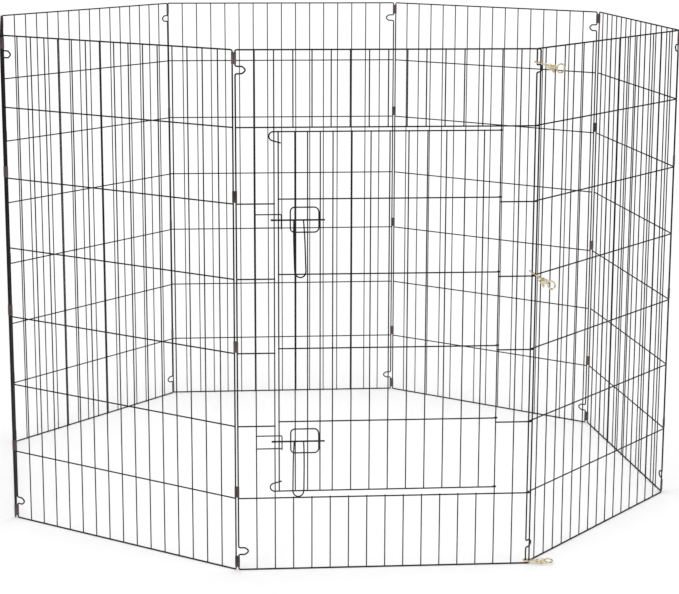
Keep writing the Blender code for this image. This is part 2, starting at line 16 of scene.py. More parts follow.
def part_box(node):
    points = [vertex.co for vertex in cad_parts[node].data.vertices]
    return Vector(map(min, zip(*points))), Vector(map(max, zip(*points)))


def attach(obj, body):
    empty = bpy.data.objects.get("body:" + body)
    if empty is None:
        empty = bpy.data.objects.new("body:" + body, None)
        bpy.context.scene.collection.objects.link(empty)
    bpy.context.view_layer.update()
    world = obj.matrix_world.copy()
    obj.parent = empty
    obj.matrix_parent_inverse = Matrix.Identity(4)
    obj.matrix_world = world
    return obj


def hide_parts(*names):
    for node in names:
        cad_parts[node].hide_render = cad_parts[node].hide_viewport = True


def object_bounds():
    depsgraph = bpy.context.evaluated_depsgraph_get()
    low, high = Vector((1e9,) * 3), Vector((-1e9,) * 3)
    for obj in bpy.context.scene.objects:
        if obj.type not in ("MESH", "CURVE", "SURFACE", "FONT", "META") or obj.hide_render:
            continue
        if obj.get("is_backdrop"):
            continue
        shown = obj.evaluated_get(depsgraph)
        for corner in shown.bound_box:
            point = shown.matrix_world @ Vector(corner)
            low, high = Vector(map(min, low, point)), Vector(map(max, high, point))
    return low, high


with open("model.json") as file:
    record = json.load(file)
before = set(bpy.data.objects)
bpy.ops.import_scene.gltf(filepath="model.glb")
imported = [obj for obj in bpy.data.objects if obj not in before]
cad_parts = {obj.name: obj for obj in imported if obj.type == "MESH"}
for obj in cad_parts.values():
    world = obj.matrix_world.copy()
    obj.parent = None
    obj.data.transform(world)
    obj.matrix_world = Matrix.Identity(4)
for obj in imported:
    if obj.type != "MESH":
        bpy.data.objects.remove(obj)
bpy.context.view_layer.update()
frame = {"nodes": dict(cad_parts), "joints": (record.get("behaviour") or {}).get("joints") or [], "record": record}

MM = 0.001

# Wires of the CAD frame, which its boxes are measured to the outside of.
CAD_WIRE = 2.66 * MM
CAD_LATCH_HALF = 1.175 * MM
COLUMNS = 16
ROWS = 7

# Wire radii.
FRAME_RADIUS = 1.58 * MM
ROW_RADIUS = 1.45 * MM
UPRIGHT_RADIUS = 1.26 * MM
DOOR_RADIUS = 1.40 * MM
ROD_RADIUS = 1.75 * MM
LATCH_RADIUS = 1.42 * MM
KEEPER_RADIUS = 1.25 * MM
SIDES = 12

# Uprights lie behind the rows, the distance of the lap between the two axes. They stand a little
# past the wires that they end on, and bow a little. A row's ends sink into the posts.
LAP = 2.25 * MM
UPRIGHT_OVER = 0.6 * MM
UPRIGHT_BOW = 0.5 * MM
BOW_STEPS = 10
STUB_OVER = 1.6 * MM
WELD_SINK = 0.15 * MM

# A cut end's chamfer, and the largest turn between two points of a bend.
CUT = 0.35 * MM
CUT_SHARE = 0.78
BEND_STEP = math.radians(11)

# Weld beads: their half sizes along the panel, through it and up, and where they sit.
CROSSING_BEAD = (1.75 * MM, 0.85 * MM, 1.75 * MM)
CROSSING_DEPTH = LAP * 0.56
BUTT_BEAD = (1.0 * MM, 1.75 * MM, 1.75 * MM)
BUTT_INSET = 1.5 * MM
KEEPER_BEAD = (1.7 * MM, 0.8 * MM, 1.6 * MM)
KEEPER_BEAD_DEPTH = 3.2 * MM
DOOR_EDGE_BEAD = (2.0 * MM, 1.6 * MM, 2.0 * MM)
GUIDE_BEAD = (1.6 * MM, 0.9 * MM, 1.6 * MM)
GUIDE_BEAD_DEPTH = 0.35 * MM
HANDLE_BEAD = (2.0 * MM, 0.8 * MM, 1.7 * MM)
HANDLE_BEAD_DEPTH = -1.6 * MM

# The bent frame wire.
CORNER_RADIUS = 3.8 * MM
EAR_FROM_END = 39.5 * MM
EAR_DEPTH = 20.3 * MM
EAR_HALF_HEIGHT = 7.4 * MM
EAR_SHOULDER = 13.2 * MM
EAR_NECK_RADIUS = 3.4 * MM
EAR_BEND = 4.5 * MM
EAR_TIP = EAR_DEPTH + 1.9 * MM
EAR_TAPER = 0.96

# Doorway, as its first and last columns and rows. The door's wires, by their distance from the
# panel's left post and from its bottom wire: close uprights stand beside the bolts.
DOORWAY = (2, 14, 1, 6)
DOOR_LEVEL = -0.45 * MM
DOOR_LAP = 1.80 * MM
DOOR_EDGE = 83.8 * MM
DOOR_RAILS = (167.0 * MM, 314.0 * MM, 466.5 * MM, 619.0 * MM, 771.5 * MM, 906.0 * MM)
DOOR_CLOSE = tuple((116.8 + 25.25 * i) * MM for i in range(4))
DOOR_WIDE = tuple((230.3 + 37.725 * i) * MM for i in range(8))
CURL_CENTRE = 74.3 * MM
CURL_RADIUS = 8.9 * MM
CURL_END = (89.0 * MM, 22.2 * MM)
CURL_FORWARD = -3.3 * MM
DOOR_UPRIGHT_OVER = 0.9 * MM
HINGE_EYE = 2.70 * MM
HINGE_EYE_TURNS = (-90, 205)
CURL_TURNS = (-90, -254)

# Latches: the closed guide on the door, the keepers on the front panel, and the bolt's handle.
LATCH_FRONT = -7.3 * MM
GUIDE_BACK = -0.70 * MM
GUIDE_CORNER = 9.0 * MM
GUIDE_STEP = (1.5 * MM, 13.0 * MM)
GUIDE_SIDE_STEPS = 14
KEEPER_BACK = 4.15 * MM
KEEPER_SPAN = (36.4 * MM, 89.4 * MM)
KEEPER_ABOVE = 10.0 * MM
KEEPER_BELOW = 17.0 * MM
KEEPER_CORNER = 4.0 * MM
HANDLE_FORWARD = -3.7 * MM
HANDLE_NOSE = 13.0 * MM
HANDLE_PINCH = 1.6 * MM
HANDLE_PINCH_END = 0.55
HANDLE_ROOT = -1.2 * MM
HANDLE_ELBOW = 3.2 * MM
HANDLE_LEANS = {"upper": 0.030, "lower": -0.012}

# The rod's nose and tail: millimetres from its end, and the share of its radius.
ROD_NOSE = ((0.0, 0.45), (0.25, 0.85), (0.8, 1.12), (4.5, 1.15), (7.5, 1.0))
ROD_TAIL = ((0.6, 1.0), (0.2, 0.93), (0.0, 0.75))

# Hinge clips. Near each end the outline draws in: distance from the end, share of the posts'
# spacing, and how far the sheet's edge is rounded off.
POST_GAP = 6.0 * MM
CLIP_HEIGHT = 23.4 * MM
CLIP_LOBE = 2.30 * MM
CLIP_WAIST = 0.95 * MM
CLIP_SHEET = 0.60 * MM
CLIP_SEAM = 0.28 * MM
CLIP_ENDS = (
    (0.0, 0.94, 0.18 * MM), (0.35 * MM, 0.95, 0.0), (2.2 * MM, 1.0, 0.0), (CLIP_HEIGHT / 2, 1.0, 0.0),
)
CLIP_SHIFT = 0.6 * MM
CLIP_END_FACE = 6.5 * MM

# Snaps. Lengths run along the snap's axis from the mouth of its barrel. Outlines are in
# millimetres: (along, radius) where they are turned, (along, aside) for the hook, and
# (along, inner edge, outer edge, half thickness) for the thumb piece's fin.
BARREL = (
    (-0.2, 1.6), (0.0, 2.4), (0.5, 2.7), (5.2, 2.7), (6.4, 3.0), (8.0, 3.7), (9.2, 4.0),
    (9.5, 4.35), (10.1, 4.35), (10.4, 4.1), (15.0, 4.6), (18.6, 5.1), (20.6, 5.3),
    (21.3, 5.05), (21.5, 4.4), (21.5, 1.9), (19.9, 1.8), (19.7, 3.2), (11.2, 3.2),
    (11.0, 1.7), (-0.2, 1.5),
)
SLOT = (0.5 * MM, 10.9 * MM)
SLOT_DEPTHS = (-7.0 * MM, -1.0 * MM)
SLOT_HALF_WIDTH = 0.95 * MM
HOOK_RUN = ((5.5, 2.2), (2.4, 2.9), (0.0, 4.0), (-1.9, 7.4), (-4.8, 11.0), (-7.8, 11.8))
HOOK_NOSE = 13.8 * MM
HOOK_WIDTH = 11.8 * MM
HOOK_TIP = 8.6 * MM
HOOK_BEND = 2.5 * MM
HOOK_RADII = (2.00, 0.45, 0.8)
GATE = ((-8.25, 0.5), (-8.1, 0.95), (-7.6, 1.25), (8.3, 1.25), (8.5, 1.0))
STEM_PLACE = 1.8 * MM
STEM_RUN = (-0.4 * MM, -5.4 * MM)
STEM_RADIUS = 0.62 * MM
FIN = (
    (1.0, 4.95, 5.8, 0.45), (1.5, 4.75, 6.3, 0.65), (5.0, 5.0, 6.9, 0.9), (9.0, 5.2, 7.8, 1.05),
    (13.0, 5.5, 9.4, 1.15), (16.5, 5.8, 11.6, 1.15), (19.0, 6.2, 13.2, 1.1), (20.6, 7.6, 13.4, 1.0),
    (21.6, 9.8, 13.2, 0.8), (22.0, 11.3, 12.8, 0.45),
)
FIN_SQUARENESS = 0.6
SWIVEL = (
    (17.0, 1.4), (17.2, 2.7), (19.0, 2.7), (19.2, 1.4), (21.6, 1.45), (21.9, 2.7), (22.9, 2.8),
    (23.6, 2.4), (24.6, 1.9), (25.2, 1.2),
)
EYE_CENTRE = 32.3 * MM
EYE_RADIUS = (7.8 * MM, 8.8 * MM)
EYE_WIRE = (1.70, 0.30)
EYE_TURNS = {"top": 90.0, "middle": 55.0, "bottom": 8.0}
STUD_TURNS = {"top": 56.0, "middle": 90.0, "bottom": -24.0}

# Small differences between uprights and between clips are drawn from one seeded source.
SEED = 11

# Light: the surroundings as the camera, the surfaces and the reflections see them, and the lamps,
# each with its place, size, power and target.
CAMERA_LEVEL = 1.02
LIGHT_LEVEL = 0.88
GLOSS_LEVEL = 0.22
LAMPS = (
    ("key", (-2.6, -3.6, 3.4), 2.2, 40.0, (0, 0, 0.5)),
    ("fill", (3.4, -2.6, 2.2), 1.6, 18.0, (0.2, 0, 0.5)),
    ("top", (0.2, 0.3, 4.2), 3.0, 44.0, (0, 0, 0)),
)

# The floor is a disc that fades out between two distances from its centre.
FLOOR_FADE = (1.1, 3.2)
FLOOR_SIDES = 96
FLOOR_SUNK = -0.2 * MM

# Camera, fitted to the pen's own corners. Angles are in degrees.
CAMERA_PLACE = (-0.3215, -4.6021, 1.3999)
CAMERA_YAW = -4.4169
CAMERA_PITCH = -12.0098
CAMERA_ROLL = 0.1833
CAMERA_LENS = 104.9

# The panels' own sizes, between the axes of their outer wires.
panel_low, panel_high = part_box("door_panel")
floor_wire = panel_low.z + CAD_WIRE / 2
wide = panel_high.x - panel_low.x - CAD_WIRE
tall = panel_high.z - panel_low.z - CAD_WIRE
pitch, row_pitch = wide / COLUMNS, tall / ROWS


class Shape:
    """Vertices and faces of one piece, gathered before its mesh is made."""

    def __init__(self, matrix=Matrix.Identity(4)):
        self.matrix = matrix
        self.points = []
        self.faces = []

    def rings(self, rings, closed=False, capped=True):
        """Join rings of points, all of one length, into a closed tube."""
        base, size, count = len(self.points), len(rings[0]), len(rings)
        for ring in rings:
            self.points += [self.matrix @ point for point in ring]
        for i in range(count if closed else count - 1):
            here, there = base + i * size, base + (i + 1) % count * size
            for j in range(size):
                k = (j + 1) % size
                self.faces.append((here + j, here + k, there + k, there + j))
        if capped and not closed:
            for at, order in ((0, -1), (count - 1, 1)):
                centre = sum(rings[at], Vector()) / size
                self.points.append(self.matrix @ centre)
                tip, start = len(self.points) - 1, base + at * size
                for j in range(size):
                    pair = (start + j, start + (j + 1) % size)[::order]
                    self.faces.append((*pair, tip))

    def wire(self, path, radius, closed=False, sides=SIDES):
        """A round wire along a path; radius is one number or one for each point."""
        count = len(path)
        radii = radius if isinstance(radius, list) else [radius] * count
        runs = []
        for i in range(count):
            before = path[i - 1] if i or closed else path[i]
            after = path[(i + 1) % count] if i < count - 1 or closed else path[i]
            runs.append((after - before).normalized())
        normals = [runs[0].orthogonal().normalized()]
        for i in range(1, count + (1 if closed else 0)):
            turned = runs[i - 1].rotation_difference(runs[i % count]) @ normals[-1]
            run = runs[i % count]
            normals.append((turned - run * turned.dot(run)).normalized())
        twist = 0.0
        if closed:
            last, first = normals.pop(), normals[0]
            twist = math.atan2(runs[0].dot(last.cross(first)), last.dot(first))
        made = []
        for i, point in enumerate(path):
            side = normals[i]
            other = runs[i].cross(side)
            start = twist * i / count
            ring = []
            for j in range(sides):
                angle = start + 2 * math.pi * j / sides
                ring.append(point + (side * math.cos(angle) + other * math.sin(angle)) * radii[i])
            made.append(ring)
        self.rings(made, closed)

    def cut_wire(self, path, radius, sides=SIDES):
        """An open wire whose two cut ends are slightly chamfered."""
        path = list(path)
        ends = []
        for a, b in ((path[0], path[1]), (path[-1], path[-2])):
            ends.append(a + (b - a).normalized() * CUT)
        path = [path[0], ends[0], *path[1:-1], ends[1], path[-1]]
        radii = [radius] * len(path)
        radii[0] = radii[-1] = radius * CUT_SHARE
        self.wire(path, radii, sides=sides)

    def bead(self, centre, size):
        """A small weld bead: a squashed ball with unequal sizes along the axes."""
        rings = []
        for i in range(1, 5):
            angle = math.pi * i / 5
            ring = []
            for j in range(8):
                turn = 2 * math.pi * j / 8
                out = math.sin(angle)
                ring.append(Vector((
                    centre[0] + size[0] * out * math.cos(turn),
                    centre[1] + size[1] * math.cos(angle),
                    centre[2] + size[2] * out * math.sin(turn),
                )))
            rings.append(ring)
        self.rings(rings)

    def lathe(self, profile, sides=20, closed=False):
        """Turn a profile of (distance along x, radius) about the x axis."""
        made = []
        for along, radius in profile:
            ring = []
            for j in range(sides):
                angle = 2 * math.pi * j / sides
                ring.append(Vector((along, radius * math.cos(angle), radius * math.sin(angle))))
            made.append(ring)
        self.rings(made, closed)

    def mesh(self, name):
        """A Blender mesh of the points and faces."""
        made = bpy.data.meshes.new(name)
        made.from_pydata(self.points, [], self.faces)
        made.validate()
        made.update()
        return made

    def without(self, cutter):
        """This shape with the cutter's room taken out of it."""
        pair = []
        for name, shape in (("cut", self), ("cutter", cutter)):
            made = bpy.data.objects.new(name, shape.mesh(name))
            bpy.context.scene.collection.objects.link(made)
            pair.append(made)
        cut = pair[0].modifiers.new("cut", "BOOLEAN")
        cut.operation, cut.solver, cut.object = "DIFFERENCE", "EXACT", pair[1]
        left = bpy.data.meshes.new_from_object(pair[0].evaluated_get(bpy.context.evaluated_depsgraph_get()))
        shape = Shape()
        shape.points = [vertex.co.copy() for vertex in left.vertices]
        shape.faces = [tuple(face.vertices) for face in left.polygons]
        for made in pair:
            bpy.data.objects.remove(made)
        return shape

    def piece(self, name, finish, body, slot, node, sharp=40):
        """Make the mesh, let it ride on its body and stand for its CAD node."""
        mesh = self.mesh(name)
        mesh.shade_smooth()
        mesh.set_sharp_from_angle(angle=math.radians(sharp))
        mesh.materials.append(finish)
        made = bpy.data.objects.new(name, mesh)
        bpy.context.scene.collection.objects.link(made)
        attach(made, body)
        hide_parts(node)


def arc(centre, radius, start, end, steps):
    """Points (u, z) on an arc, angles in degrees; radius may be a pair."""
    wide, high = radius if isinstance(radius, tuple) else (radius, radius)
    points = []
    for i in range(steps + 1):
        angle = math.radians(start + (end - start) * i / steps)
        points.append((centre[0] + wide * math.cos(angle), centre[1] + high * math.sin(angle)))
    return points


def rounded(points, radii):
    """The open path with its corners turned into arcs; radii is one number or one for each point."""
    count = len(points)
    radii = radii if isinstance(radii, list) else [radii] * count
    out = []
    for i, point in enumerate(points):
        if i in (0, count - 1):
            out.append(point.copy())
            continue
        back, ahead = points[i - 1] - point, points[i + 1] - point
        room = min(back.length, ahead.length)
        back, ahead = back.normalized(), ahead.normalized()
        bend = math.pi - back.angle(ahead)
        if bend < math.radians(1) or radii[i] <= 0:
            out.append(point.copy())
            continue
        reach = min(radii[i] * math.tan(bend / 2), room * 0.49)
        radius = reach / math.tan(bend / 2)
        start = point + back * reach
        centre = point + (back + ahead).normalized() * (radius / math.cos(bend / 2))
        axis = back.cross(ahead).normalized()
        steps = max(2, math.ceil(bend / BEND_STEP))
        for k in range(steps + 1):
            turn = Matrix.Rotation(-bend * k / steps, 3, axis)
            out.append(centre + turn @ (start - centre))
    return out


def ear(middle):
    """The upward run of a left post through one ear with its blunt point, as (u, z)."""
    half, lead = EAR_HALF_HEIGHT, 3 * EAR_NECK_RADIUS
    corners = [(0, -half - lead), (0, -half), (EAR_SHOULDER, -half * EAR_TAPER), (EAR_TIP, 0)]
    corners += [(EAR_SHOULDER, half * EAR_TAPER), (0, half), (0, half + lead)]
    bends = [0, EAR_NECK_RADIUS, EAR_BEND, EAR_BEND, EAR_BEND, EAR_NECK_RADIUS, 0]
    path = rounded([Vector((u, 0, z)) for u, z in corners], bends)
    return [(point.x, middle + point.z) for point in path]


def frame_wire(shape):
    """The closed bent wire round a panel."""
    bend = CORNER_RADIUS
    path = arc((bend, bend), bend, 270, 180, 8)
    path += ear(EAR_FROM_END) + [(0, tall / 2)] + ear(tall - EAR_FROM_END)
    path += arc((bend, tall - bend), bend, 180, 90, 8)
    path += arc((wide - bend, tall - bend), bend, 90, 0, 8)
    path += arc((wide - bend, bend), bend, 0, -90, 8)
    shape.wire([Vector((u, 0, z)) for u, z in path], FRAME_RADIUS, closed=True)


def upright(shape, u, low, high, v=LAP, bow=0.0):
    """An upright wire, which may bow slightly between its ends."""
    points = []
    steps = BOW_STEPS if bow else 1
    for i in range(steps + 1):
        share = i / steps
        points.append(Vector((u + bow * math.sin(math.pi * share), v, low + (high - low) * share)))
    shape.cut_wire(points, UPRIGHT_RADIUS)


def row(shape, left, right, z):
    """A row wire in the panel's plane."""
    shape.cut_wire([Vector((left, 0, z)), Vector((right, 0, z))], ROW_RADIUS)


def crossing(shape, u, z, v=0.0):
    """The weld where an upright crosses a wire in front of it."""
    shape.bead((u, v + CROSSING_DEPTH, z), CROSSING_BEAD)


def butt(shape, u, z, side):
    """The weld where a row's end meets a post."""
    shape.bead((u + side * BUTT_INSET, 0.0, z), BUTT_BEAD)


def plain_panel(matrix, jitter):
    """A panel with its whole grid."""
    shape = Shape(matrix)
    frame_wire(shape)
    for i in range(1, ROWS):
        z = i * row_pitch
        row(shape, FRAME_RADIUS - WELD_SINK, wide - FRAME_RADIUS + WELD_SINK, z)
        butt(shape, 0, z, 1)
        butt(shape, wide, z, -1)
    for i in range(1, COLUMNS):
        u = i * pitch
        upright(shape, u, -UPRIGHT_OVER, tall + UPRIGHT_OVER, bow=jitter.uniform(-UPRIGHT_BOW, UPRIGHT_BOW))
        for k in range(ROWS + 1):
            crossing(shape, u, k * row_pitch)
    return shape


def front_panel(matrix, bolt_levels):
    """The panel with the doorway, its stub rows and the two keepers."""
    first, last, lowest, highest = DOORWAY
    shape = Shape(matrix)
    frame_wire(shape)
    inner = FRAME_RADIUS - WELD_SINK
    for i in range(1, ROWS):
        z = i * row_pitch
        butt(shape, 0, z, 1)
        butt(shape, wide, z, -1)
        if lowest < i < highest:
            row(shape, inner, first * pitch + STUB_OVER, z)
            row(shape, last * pitch - STUB_OVER, wide - inner, z)
        else:
            row(shape, inner, wide - inner, z)
    for i in range(1, COLUMNS):
        u = i * pitch
        if first < i < last:
            upright(shape, u, -UPRIGHT_OVER, lowest * row_pitch + STUB_OVER)
            upright(shape, u, highest * row_pitch - STUB_OVER, tall + UPRIGHT_OVER)
            crossed = [0, lowest, highest, ROWS]
        else:
            upright(shape, u, -UPRIGHT_OVER, tall + UPRIGHT_OVER)
            crossed = range(ROWS + 1)
        for k in crossed:
            crossing(shape, u, k * row_pitch)
    left, right = KEEPER_SPAN
    for level in bolt_levels:
        upper, lower = level + KEEPER_ABOVE, level - KEEPER_BELOW
        path = [(left, KEEPER_BACK, upper), (right, KEEPER_BACK, upper), (right, LATCH_FRONT, upper)]
        path += [(right, LATCH_FRONT, lower), (right, KEEPER_BACK, lower), (left, KEEPER_BACK, lower)]
        shape.cut_wire(rounded([Vector(point) for point in path], KEEPER_CORNER), KEEPER_RADIUS)
        for z in (upper, lower):
            for i in (1, first):
                shape.bead((i * pitch, KEEPER_BEAD_DEPTH, z), KEEPER_BEAD)
    return shape


def door(matrix):
    """Rails that end in eyes round the hinge wire, uprights lapped behind them, and the two curls."""
    shape = Shape(matrix)
    pin, v = DOORWAY[1] * pitch, DOOR_LEVEL
    hinge_side = arc((pin, LAP), HINGE_EYE, *HINGE_EYE_TURNS, 20)
    for number, z in enumerate(DOOR_RAILS):
        path = [Vector((u, y, z)) for u, y in hinge_side][::-1]
        if number in (0, len(DOOR_RAILS) - 1):
            way = 1 if number == 0 else -1
            curl = arc((CURL_CENTRE, CURL_RADIUS), CURL_RADIUS, *CURL_TURNS, 16)
            for u, turned in curl + [CURL_END]:
                share = max(0.0, min(1.0, (turned - CURL_RADIUS) / CURL_RADIUS))
                path.append(Vector((u, v + (CURL_FORWARD - v) * share, z + way * turned)))
        else:
            path.append(Vector((DOOR_EDGE, v, z)))
        shape.cut_wire(path, DOOR_RADIUS)
    low, high = DOOR_RAILS[0], DOOR_RAILS[-1]
    shape.cut_wire([Vector((DOOR_EDGE, v, low)), Vector((DOOR_EDGE, v, high))], DOOR_RADIUS)
    for z in DOOR_RAILS:
        shape.bead((DOOR_EDGE, v, z), DOOR_EDGE_BEAD)
    for u in DOOR_CLOSE + DOOR_WIDE:
        upright(shape, u, low - DOOR_UPRIGHT_OVER, high + DOOR_UPRIGHT_OVER, v=DOOR_LAP)
        for z in DOOR_RAILS:
            crossing(shape, u, z, v)
    return shape


def guide(matrix, left, right, low, high):
    """The bolt's guide: a rounded square of wire whose sides stand forward over the rod."""
    shape = Shape(matrix)
    bend, steps = GUIDE_CORNER, GUIDE_SIDE_STEPS
    start, end = low + bend, high - bend
    path = arc((left + bend, start), bend, -90, -180, 8)
    path += [(left, start + (end - start) * i / steps) for i in range(1, steps)]
    path += arc((left + bend, end), bend, 180, 90, 8)
    path += arc((right - bend, end), bend, 90, 0, 8)
    path += [(right, end + (start - end) * i / steps) for i in range(1, steps)]
    path += arc((right - bend, start), bend, 0, -90, 8)
    points = []
    for u, z in path:
        rise = min(z - low, high - z) - GUIDE_STEP[0]
        share = max(0.0, min(1.0, rise / (GUIDE_STEP[1] - GUIDE_STEP[0])))
        share = share * share * (3 - 2 * share)
        points.append(Vector((u, GUIDE_BACK + (LATCH_FRONT - GUIDE_BACK) * share, z)))
    shape.wire(points, LATCH_RADIUS, closed=True)
    for u in DOOR_CLOSE[:2]:
        for z in (low, high):
            shape.bead((u, GUIDE_BEAD_DEPTH, z), GUIDE_BEAD)
    return shape


def rod(matrix, left, right):
    """The bolt's rod along x, with a rounded nose and a plain cut end."""
    shape = Shape(matrix)
    profile = [(left + reach * MM, share * ROD_RADIUS) for reach, share in ROD_NOSE]
    profile += [((left + right) / 2, ROD_RADIUS)]
    profile += [(right - reach * MM, share * ROD_RADIUS) for reach, share in ROD_TAIL]
    shape.lathe(profile, sides=16)
    return shape


def handle(matrix, left, right, drop, lean):
    """The hairpin that hangs from the rod, whose axis is x: it widens a little on its way down."""
    shape = Shape(matrix)
    forward, middle, half = HANDLE_FORWARD, (left + right) / 2, (right - left) / 2
    side = []
    for share in (0.0, 0.1, 0.2, 0.3, 0.4, 0.55, 0.7, 0.85, 1.0):
        down = share * (drop - HANDLE_NOSE)
        spread = half - HANDLE_PINCH * (1 - min(1.0, share / HANDLE_PINCH_END)) ** 2
        side.append((spread, down))
    root = side[0][0]
    path = [Vector((middle - root, HANDLE_ROOT, 0)), Vector((middle - root, forward, 0))]
    path += [Vector((middle - spread, forward, -down)) for spread, down in side[1:]]
    for u, z in arc((middle, HANDLE_NOSE - drop), (half, HANDLE_NOSE), 180, 360, 20)[1:-1]:
        path.append(Vector((u, forward, z)))
    path += [Vector((middle + spread, forward, -down)) for spread, down in side[:0:-1]]
    path += [Vector((middle + root, forward, 0)), Vector((middle + root, HANDLE_ROOT, 0))]
    for point in path:
        point.x -= lean * point.z
    radii = [0, HANDLE_ELBOW] + [0] * (len(path) - 4) + [HANDLE_ELBOW, 0]
    shape.cut_wire(rounded(path, radii), LATCH_RADIUS)
    for point in (path[0], path[-1]):
        shape.bead((point.x, HANDLE_BEAD_DEPTH, 0), HANDLE_BEAD)
    return shape


def clip_outline(offset, pinch):
    """One closed outline of the folded clip, as (along, across), moved in by the offset."""
    lobe, waist, half = CLIP_LOBE - offset, CLIP_WAIST - offset, POST_GAP / 2 * pinch
    points = []
    for side in (1, -1):
        for angle in range(80, -81, -16):
            turn = math.radians(angle)
            points.append((side * (half + lobe * math.cos(turn)), side * lobe * math.sin(turn)))
        for share in (0.78, 0.5, 0.25, 0.06, 0.0, -0.06, -0.25, -0.5, -0.78):
            depth = waist + (lobe - waist) * (0.5 - 0.5 * math.cos(math.pi * abs(share)))
            if share == 0 and side == -1 and offset < CLIP_SHEET / 2:
                depth -= CLIP_SEAM
            points.append((side * half * share, -side * depth))
    return points


def clip(matrix):
    """Sheet folded round two posts: two lobes, a pinched waist, and ends that draw in a little."""
    shape = Shape(matrix)
    half = CLIP_HEIGHT / 2
    rings = []
    outer = [(-half + inset, pinch, edge) for inset, pinch, edge in CLIP_ENDS]
    outer += [(half - inset, pinch, edge) for inset, pinch, edge in CLIP_ENDS[::-1][1:]]
    inner = [(z, pinch, CLIP_SHEET - edge * 0.5) for z, pinch, edge in outer[::-1]]
    for z, pinch, offset in outer + inner:
        rings.append([Vector((x, y, z)) for x, y in clip_outline(offset, pinch)])
    shape.rings(rings, closed=True)
    return shape


def clip_matrix(node):
    """A clip's own frame: x runs between its posts, towards the middle of one end of its CAD sleeve."""
    low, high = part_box(node)
    middle = (low + high) / 2
    centre = Vector((middle.x, middle.y))
    ground = [Vector((v.co.x, v.co.y)) for v in frame["nodes"][node].data.vertices]
    corner = max(ground, key=lambda point: (point - centre).length)
    face = [point for point in ground if (point - corner).length < CLIP_END_FACE]
    along = sum(face, Vector((0, 0))) / len(face) - centre
    return Matrix.Translation(middle) @ Matrix.Rotation(math.atan2(along.y, along.x), 4, "Z")


def panel_matrix(left, heading):
    """A panel's own frame, from its left post's place and its heading."""
    return Matrix.Translation((left.x, left.y, floor_wire)) @ Matrix.Rotation(heading, 4, "Z")


def panel_frame(node, right_post):
    """Where a panel's own frame is: its right post is known, and its left post lies furthest off."""
    ground = [Vector((v.co.x, v.co.y)) for v in frame["nodes"][node].data.vertices]
    reach = max((point - right_post).length for point in ground)
    far = [point for point in ground if (point - right_post).length > reach - 0.05 * MM]
    along = (right_post - sum(far, Vector((0, 0))) / len(far)).normalized()
    return panel_matrix(right_post - along * wide, math.atan2(along.y, along.x))


def shader(name):
    """A new material with its Principled node, links and a shortcut that adds nodes."""
    made = bpy.data.materials.new(name)
    made.use_nodes = True
    tree = made.node_tree

    def add(kind, **values):
        node = tree.nodes.new(kind)
        for key, value in values.items():
            if key in node.inputs:
                node.inputs[key].default_value = value
            else:
                setattr(node, key, value)
        return node

    return made, tree.nodes["Principled BSDF"], tree.links.new, add


def ramp(add, link, source, stops):
    """A colour ramp fed by the source; stops are (position, colour)."""
    node = add("ShaderNodeValToRGB")
    elements = node.color_ramp.elements
    while len(elements) < len(stops):
        elements.new(0.5)
    for element, (position, colour) in zip(elements, stops):
        element.position = position
        element.color = (*colour, 1.0)
    link(source, node.inputs["Fac"])
    return node.outputs["Color"]


def span(add, link, source, low, high):
    """The source's 0 to 1 turned into low to high."""
    node = add("ShaderNodeMapRange")
    node.inputs["To Min"].default_value = low
    node.inputs["To Max"].default_value = high
    link(source, node.inputs["Value"])
    return node.outputs["Result"]


def coated(name, dark, light, roughness, peel):
    """Powder coat on steel: slow colour drift, orange peel, dusty and rubbed patches."""
    made, bsdf, link, add = shader(name)
    place = add("ShaderNodeTexCoord").outputs["Object"]
    drift = add("ShaderNodeTexNoise", Scale=14.0, Detail=4.0, Roughness=0.6)
    grain = add("ShaderNodeTexNoise", Scale=900.0, Detail=3.0, Roughness=0.55)
    patch = add("ShaderNodeTexNoise", Scale=55.0, Detail=5.0, Roughness=0.7)
    for node in (drift, grain, patch):
        link(place, node.inputs["Vector"])
    colour = ramp(add, link, drift.outputs["Fac"], ((0.35, dark), (0.68, light)))
    link(colour, bsdf.inputs["Base Color"])
    link(span(add, link, patch.outputs["Fac"], *roughness), bsdf.inputs["Roughness"])
    bump = add("ShaderNodeBump", Strength=peel, Distance=0.0004)
    link(grain.outputs["Fac"], bump.inputs["Height"])
    link(bump.outputs["Normal"], bsdf.inputs["Normal"])
    bsdf.inputs["Specular IOR Level"].default_value = 0.22
    return made


def brass(name):
    """Pale brass plate over a casting: its colour is scattered by noise between a painted brown shade and a
    painted near-white highlight, with faint tarnish between, and fine scratches.
    """
    made, bsdf, link, add = shader(name)
    place = add("ShaderNodeTexCoord").outputs["Object"]
    stretch = add("ShaderNodeMapping")
    stretch.inputs["Scale"].default_value = (180.0, 1400.0, 1400.0)
    link(place, stretch.inputs["Vector"])
    scratch = add("ShaderNodeTexNoise", Scale=1.0, Detail=4.0, Roughness=0.6)
    link(stretch.outputs["Vector"], scratch.inputs["Vector"])
    tarnish_and_painted_light = add("ShaderNodeTexNoise", Scale=160.0, Detail=5.0, Roughness=0.62)
    link(place, tarnish_and_painted_light.inputs["Vector"])
    # Painted shade and highlight: the dark brown stop is painted shade and the near-white cream stop is a painted
    # highlight, both scattered by the noise; the middle stop is the brass's own colour with tarnish-like drift.
    tones = ((0.34, (0.34, 0.25, 0.11)), (0.50, (0.86, 0.75, 0.50)), (0.66, (0.98, 0.93, 0.78)))
    link(ramp(add, link, tarnish_and_painted_light.outputs["Fac"], tones), bsdf.inputs["Base Color"])
    link(span(add, link, scratch.outputs["Fac"], 0.18, 0.48), bsdf.inputs["Roughness"])
    bump = add("ShaderNodeBump", Strength=0.25, Distance=0.0003)
    link(scratch.outputs["Fac"], bump.inputs["Height"])
    link(bump.outputs["Normal"], bsdf.inputs["Normal"])
    bsdf.inputs["Metallic"].default_value = 0.65
    return made


